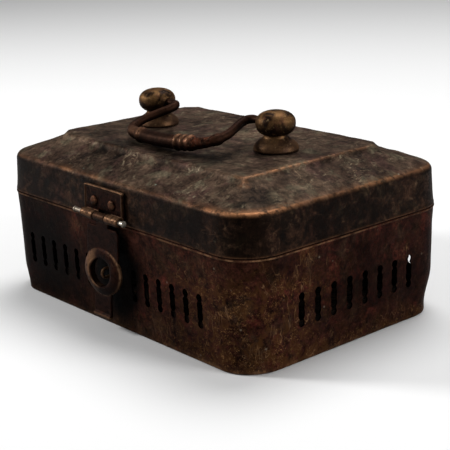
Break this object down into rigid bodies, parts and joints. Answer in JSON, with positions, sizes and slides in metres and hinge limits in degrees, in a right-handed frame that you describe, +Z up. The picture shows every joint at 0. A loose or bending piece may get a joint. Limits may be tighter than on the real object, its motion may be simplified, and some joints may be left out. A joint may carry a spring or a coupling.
{
  "type": "ventilated ember box",
  "caption": "Antique sheet-copper ember box with pierced sides, hinged stepped lid, serpentine bail handle on turned posts, hasp and lift-out tray.",
  "frame": {"origin": "centre of the body's base, on the underside of the bottom", "axes": "+X right along the front (the hasp's side), +Y to the back (the hinges' side), +Z up"},
  "size_m": [0.228, 0.1724, 0.1209],
  "materials": {
    "dark_copper": "dark brown patina over copper, rubbed and scratched",
    "worn_copper": "brown copper, bright where hands and edges rub",
    "olive_patina": "hammered copper with an olive-brown patina and pale flecks",
    "turned_brass": "mottled golden-brown brass",
    "sooty_iron": "sooty, slightly rusted"
  },
  "bodies": {
    "root": {"body_shell": "dark_copper", "body_bottom": "dark_copper", "body_collar": "worn_copper", "staple": "turned_brass", "staple_backplate": "sooty_iron", "hinge_left_body_leaf": "turned_brass", "hinge_left_pin": "sooty_iron", "hinge_body_rivet_left_a": "turned_brass", "hinge_body_rivet_left_b": "turned_brass", "hinge_right_body_leaf": "turned_brass", "hinge_right_pin": "sooty_iron", "hinge_body_rivet_right_a": "turned_brass", "hinge_body_rivet_right_b": "turned_brass"},
    "lid": {"lid_shell": "olive_patina", "hasp_plate": "worn_copper", "hasp_pin": "turned_brass", "hinge_left_lid_leaf": "turned_brass", "post_left": "turned_brass", "post_nut_left": "sooty_iron", "hasp_plate_rivet_left": "worn_copper", "hinge_lid_rivet_left_a": "turned_brass", "hinge_lid_rivet_left_b": "turned_brass", "hinge_right_lid_leaf": "turned_brass", "post_right": "turned_brass", "post_nut_right": "sooty_iron", "hasp_plate_rivet_right": "worn_copper", "hinge_lid_rivet_right_a": "turned_brass", "hinge_lid_rivet_right_b": "turned_brass"},
    "bail": {"bail_handle": "worn_copper"},
    "hasp": {"hasp": "worn_copper"},
    "tray": {"ember_tray": "sooty_iron", "tray_foot_front_left": "sooty_iron", "tray_foot_back_left": "sooty_iron", "tray_foot_front_right": "sooty_iron", "tray_foot_back_right": "sooty_iron"}
  },
  "joints": [
    {"name": "lid_hinge", "type": "hinge", "parent": "root", "child": "lid", "pos_m": [0, 0.0823, 0.06345], "axis": [-1, 0, 0], "range_deg": [0, 105]},
    {"name": "bail_swing", "type": "hinge", "parent": "lid", "child": "bail", "pos_m": [0, 0, 0.1136], "axis": [-1, 0, 0], "range_deg": [0, 208]},
    {"name": "hasp_swing", "type": "hinge", "parent": "lid", "child": "hasp", "pos_m": [-0.0013, -0.0832, 0.0664], "axis": [-1, 0, 0], "range_deg": [-3, 160]},
    {"name": "tray_lift", "type": "slide", "parent": "root", "child": "tray", "axis": [0, 0, 1], "range_m": [0, 0.045]}
  ]
}
